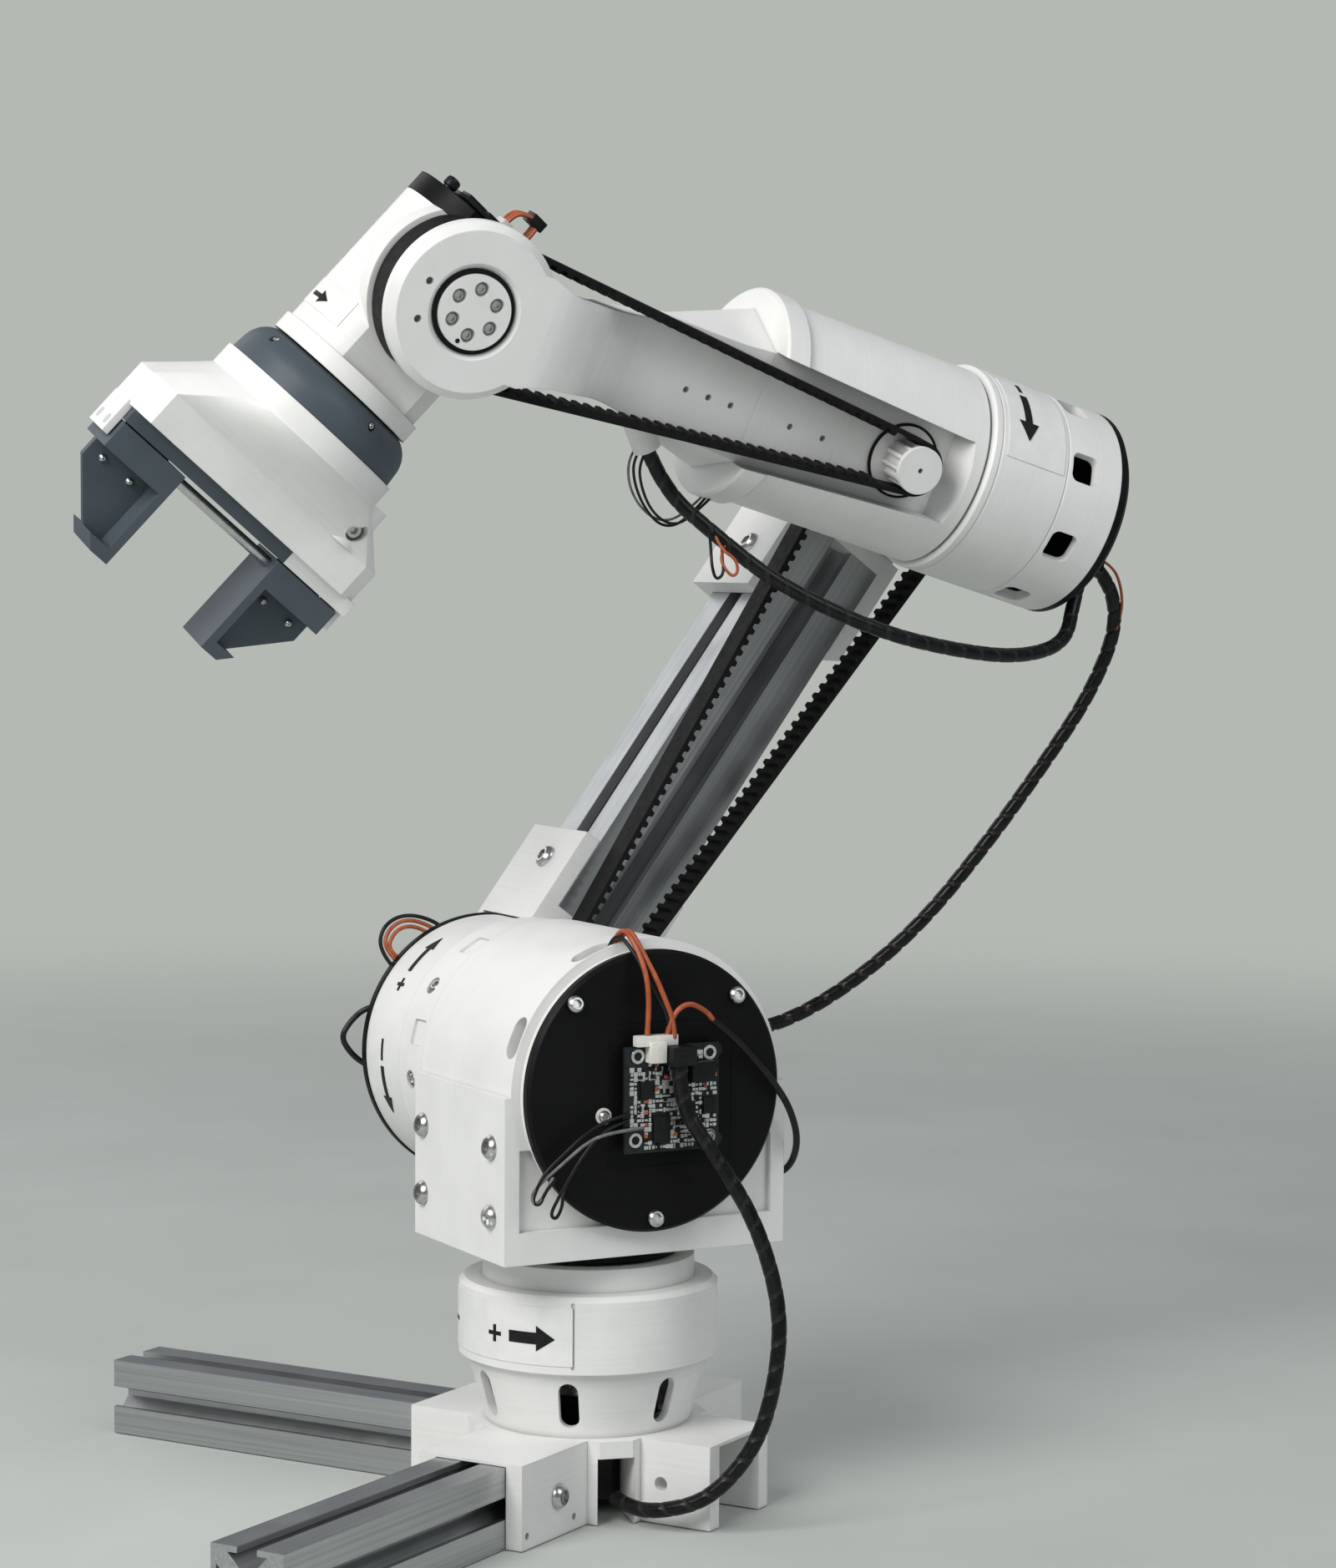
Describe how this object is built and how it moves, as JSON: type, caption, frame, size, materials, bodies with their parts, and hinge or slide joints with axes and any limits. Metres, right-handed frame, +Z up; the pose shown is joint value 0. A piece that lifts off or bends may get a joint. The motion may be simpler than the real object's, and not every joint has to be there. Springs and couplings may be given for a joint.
{
  "type": "robot_arm",
  "caption": "Six-axis desk robot arm of white printed housings and slotted aluminium profiles, with toothed-belt elbow and wrist drives and a parallel-jaw gripper.",
  "frame": {"origin": "on the yaw axis, on the surface that the base stands on", "axes": "+X is the direction the arm faces at zero yaw, +Y is its left, +Z is up"},
  "size_m": [0.4465, 0.3207, 0.5005],
  "materials": {
    "printed_white": "satin, fine printed layer lines",
    "printed_black": "satin, fine printed layer lines",
    "slate_print": "satin, fine printed layer lines",
    "anodised_profile": "anodised, drawn along the length",
    "screw_steel": "plain bright",
    "motor_case": "satin",
    "belt_rubber": "matt",
    "board_laminate": "solder mask",
    "cable_sleeve": "spiral wrapped"
  },
  "bodies": {
    "base": {"base_cross": "printed_white", "front_leg": "anodised_profile", "left_leg": "anodised_profile", "leg_bolts": "screw_steel", "leg_nuts": "screw_steel", "yaw_housing": "printed_white", "yaw_motor": "motor_case", "yaw_gearbox": "screw_steel", "yaw_bearing_cap": "printed_white", "yaw_bearing": "screw_steel", "base_cable": "cable_sleeve"},
    "shoulder": {"turntable": "printed_white", "shoulder_block": "printed_white", "shoulder_screws": "screw_steel", "shoulder_cover": "printed_black", "driver_board": "board_laminate", "board_standoffs": "board_laminate", "pitch_motor": "motor_case", "pitch_gearbox": "screw_steel"},
    "upper_arm": {"root_housing": "printed_white", "root_cover": "printed_black", "belt_ring": "printed_white", "ring_bolts": "screw_steel", "arm_profile": "anodised_profile", "lower_bracket": "printed_white", "elbow_bracket": "printed_white", "bracket_bolts": "screw_steel", "bracket_nuts": "screw_steel", "elbow_bearings": "screw_steel", "elbow_motor": "motor_case", "elbow_belt": "belt_rubber", "arm_gland": "printed_black", "elbow_cable": "cable_sleeve"},
    "elbow_drive": {"elbow_drive_pulley": "printed_white"},
    "forearm_base": {"elbow_pulley": "printed_white", "elbow_axle": "screw_steel", "roll_housing": "printed_white", "roll_cover": "printed_black", "roll_motor": "motor_case", "roll_glands": "printed_black", "forearm_cable": "cable_sleeve"},
    "forearm": {"forearm_tube": "printed_white", "yoke_arm": "printed_white", "wrist_bearing": "screw_steel", "wrist_motor": "motor_case", "wrist_belt": "belt_rubber", "cable_relief": "printed_white"},
    "wrist_drive": {"wrist_drive_pulley": "printed_white"},
    "wrist": {"wrist_body": "printed_white", "wrist_cover": "printed_black", "wrist_pulley": "printed_white", "wrist_hub": "printed_white", "tool_motor": "motor_case"},
    "gripper": {"tool_adapter": "slate_print", "gripper_body": "printed_white", "grip_motor": "motor_case", "rail_plate": "slate_print", "guide_rods": "screw_steel"},
    "front_jaw": {"front_jaw": "slate_print"},
    "rear_jaw": {"rear_jaw": "slate_print"}
  },
  "joints": [
    {"name": "yaw", "type": "hinge", "parent": "base", "child": "shoulder", "pos_m": [0, 0, 0.09], "axis": [0, 0, 1], "range_deg": [-150, 150], "deforming": ["base_cable"]},
    {"name": "shoulder_pitch", "type": "hinge", "parent": "shoulder", "child": "upper_arm", "pos_m": [0, 0, 0.1633], "axis": [0, 1, 0], "range_deg": [-30, 60]},
    {"name": "elbow_pitch", "type": "hinge", "parent": "upper_arm", "child": "forearm_base", "pos_m": [-0.16813, 0, 0.39218], "axis": [0, 1, 0], "range_deg": [-80, 15], "deforming": ["elbow_cable"]},
    {"name": "elbow_drive_spin", "type": "hinge", "parent": "upper_arm", "child": "elbow_drive", "pos_m": [0, 0, 0.1633], "axis": [0, 1, 0], "range_deg": [-255, 50]},
    {"name": "forearm_roll", "type": "hinge", "parent": "forearm_base", "child": "forearm", "pos_m": [-0.16813, 0, 0.39218], "axis": [0.9613, 0, 0.2756], "range_deg": [-100, 100], "deforming": ["forearm_cable"]},
    {"name": "wrist_pitch", "type": "hinge", "parent": "forearm", "child": "wrist", "pos_m": [0.0669, 0, 0.45958], "axis": [0.0783, 0.9588, -0.273], "range_deg": [-160, 30]},
    {"name": "wrist_drive_spin", "type": "hinge", "parent": "forearm", "child": "wrist_drive", "pos_m": [-0.12391, 0, 0.40486], "axis": [0.0783, 0.9588, -0.273], "range_deg": [-455, 90]},
    {"name": "tool_roll", "type": "hinge", "parent": "wrist", "child": "gripper", "pos_m": [0.09784, -0.01307, 0.42254], "axis": [0.6189, -0.2614, -0.7407], "range_deg": [-170, 170]},
    {"name": "front_jaw_slide", "type": "slide", "parent": "gripper", "child": "front_jaw", "axis": [-0.7816, -0.111, -0.6139], "range_m": [0, 0.0235]},
    {"name": "rear_jaw_slide", "type": "slide", "parent": "gripper", "child": "rear_jaw", "axis": [0.7816, 0.111, 0.6139], "range_m": [0, 0.0235]}
  ],
  "couplings": [
    {"joint": "elbow_drive_spin", "follows": "elbow_pitch", "ratio": 3.1667},
    {"joint": "wrist_drive_spin", "follows": "wrist_pitch", "ratio": 2.8333},
    {"joint": "rear_jaw_slide", "follows": "front_jaw_slide", "ratio": 1}
  ]
}
